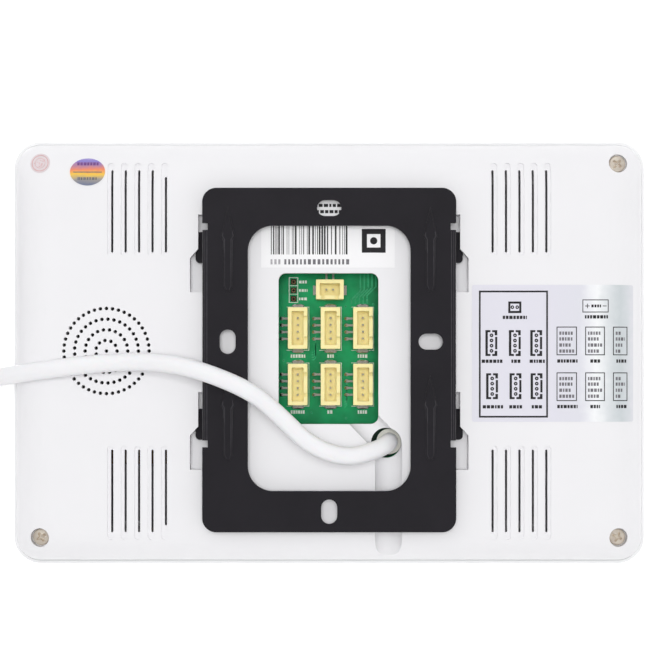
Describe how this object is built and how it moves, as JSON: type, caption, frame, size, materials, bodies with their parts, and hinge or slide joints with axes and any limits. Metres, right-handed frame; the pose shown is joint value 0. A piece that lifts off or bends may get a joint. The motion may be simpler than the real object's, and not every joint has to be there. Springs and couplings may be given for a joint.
{
  "type": "video intercom monitor",
  "caption": "Wall-mounted video door-phone monitor seen from its back: white two-shell body, hook-on black wall bracket, connector board in a window, mains lead",
  "frame": {"origin": "centre of the body's outline on the plane that the front frame rests on, with the monitor lying on its screen", "axes": "+Z points from the screen side to the wall side, +Y to the monitor's top edge when it hangs, +X to the right of somebody who looks at its back"},
  "size_m": [0.3407, 0.125, 0.0372],
  "materials": {
    "front_white": "white moulded shell, satin gloss",
    "cover_white": "white moulded shell, fine satin",
    "screen_glass": "dark tinted screen window",
    "lcd_dark": "unlit display glass",
    "tray_steel": "zinc-plated sheet",
    "ribbon_amber": "polyimide flat cable",
    "board_green": "green solder mask",
    "switch_black": "moulded black",
    "rubber_black": "soft boot",
    "capsule_metal": "drawn can",
    "transformer_yellow": "taped winding",
    "capacitor_black": "sleeved can",
    "connector_cream": "natural nylon housing",
    "contact_tin": "tinned contacts",
    "gasket_foam": "foam ring",
    "speaker_steel": "pressed basket",
    "magnet_ferrite": "ferrite with plate",
    "cone_paper": "pressed cone",
    "screw_nickel": "nickel plating",
    "label_white": "white printed label",
    "label_silver": "silver foil label",
    "sticker_hologram": "holographic foil",
    "sticker_red": "pale paper seal",
    "bracket_black": "black powder coat",
    "tie_nylon": "natural nylon tie",
    "tie_black": "black wrap",
    "conductor_plastic": "insulated conductor",
    "cord_white": "white round flex",
    "plug_white": "moulded-on plug",
    "pin_nickel": "plated pins",
    "key_white": "moulded key caps"
  },
  "bodies": {
    "monitor": {"front_frame": "front_white", "rear_cover": "cover_white", "front_glass": "screen_glass", "lcd_panel": "lcd_dark", "lcd_tray": "tray_steel", "lcd_ribbon": "ribbon_amber", "key_ribbon": "ribbon_amber", "key_board": "board_green", "main_board": "board_green", "power_board": "board_green", "switch_cases": "switch_black", "microphone_boot": "rubber_black", "microphone_capsule": "capsule_metal", "mains_transformer": "transformer_yellow", "filter_capacitors": "capacitor_black", "power_connector": "connector_cream", "power_contacts": "contact_tin", "speaker_gasket": "gasket_foam", "speaker_frame": "speaker_steel", "speaker_magnet": "magnet_ferrite", "speaker_cone": "cone_paper", "cover_screws": "screw_nickel", "board_screws": "screw_nickel", "frame_screws": "screw_nickel", "rating_label": "label_white", "wiring_label": "label_silver", "inspection_sticker": "sticker_hologram", "seal_sticker": "sticker_red", "cord_tie": "tie_nylon", "cord_conductors": "conductor_plastic", "power_cord": "cord_white", "power_cord_coil": "cord_white", "power_cord_tail": "cord_white", "coil_tie": "tie_black", "plug_sleeve": "plug_white", "plug_body": "plug_white", "plug_pins": "pin_nickel", "signal_connector_1": "connector_cream", "signal_contacts_1": "contact_tin", "signal_connector_2": "connector_cream", "signal_contacts_2": "contact_tin", "signal_connector_3": "connector_cream", "signal_contacts_3": "contact_tin", "signal_connector_4": "connector_cream", "signal_contacts_4": "contact_tin", "signal_connector_5": "connector_cream", "signal_contacts_5": "contact_tin", "signal_connector_6": "connector_cream", "signal_contacts_6": "contact_tin"},
    "wall_bracket": {"wall_bracket": "bracket_black"},
    "key_1": {"key_1": "key_white", "switch_plunger_1": "switch_black"},
    "key_2": {"key_2": "key_white", "switch_plunger_2": "switch_black"},
    "key_3": {"key_3": "key_white", "switch_plunger_3": "switch_black"},
    "key_4": {"key_4": "key_white", "switch_plunger_4": "switch_black"},
    "key_5": {"key_5": "key_white", "switch_plunger_5": "switch_black"}
  },
  "joints": [
    {"name": "bracket_slide", "type": "slide", "parent": "monitor", "child": "wall_bracket", "axis": [0, 1, 0], "range_m": [-0.0082, 0.0045]},
    {"name": "key_1_press", "type": "slide", "parent": "monitor", "child": "key_1", "axis": [0, 0, 1], "range_m": [0, 0.0005], "stiffness_N_per_m": 3000},
    {"name": "key_2_press", "type": "slide", "parent": "monitor", "child": "key_2", "axis": [0, 0, 1], "range_m": [0, 0.0005], "stiffness_N_per_m": 3000},
    {"name": "key_3_press", "type": "slide", "parent": "monitor", "child": "key_3", "axis": [0, 0, 1], "range_m": [0, 0.0005], "stiffness_N_per_m": 3000},
    {"name": "key_4_press", "type": "slide", "parent": "monitor", "child": "key_4", "axis": [0, 0, 1], "range_m": [0, 0.0005], "stiffness_N_per_m": 3000},
    {"name": "key_5_press", "type": "slide", "parent": "monitor", "child": "key_5", "axis": [0, 0, 1], "range_m": [0, 0.0005], "stiffness_N_per_m": 3000}
  ]
}
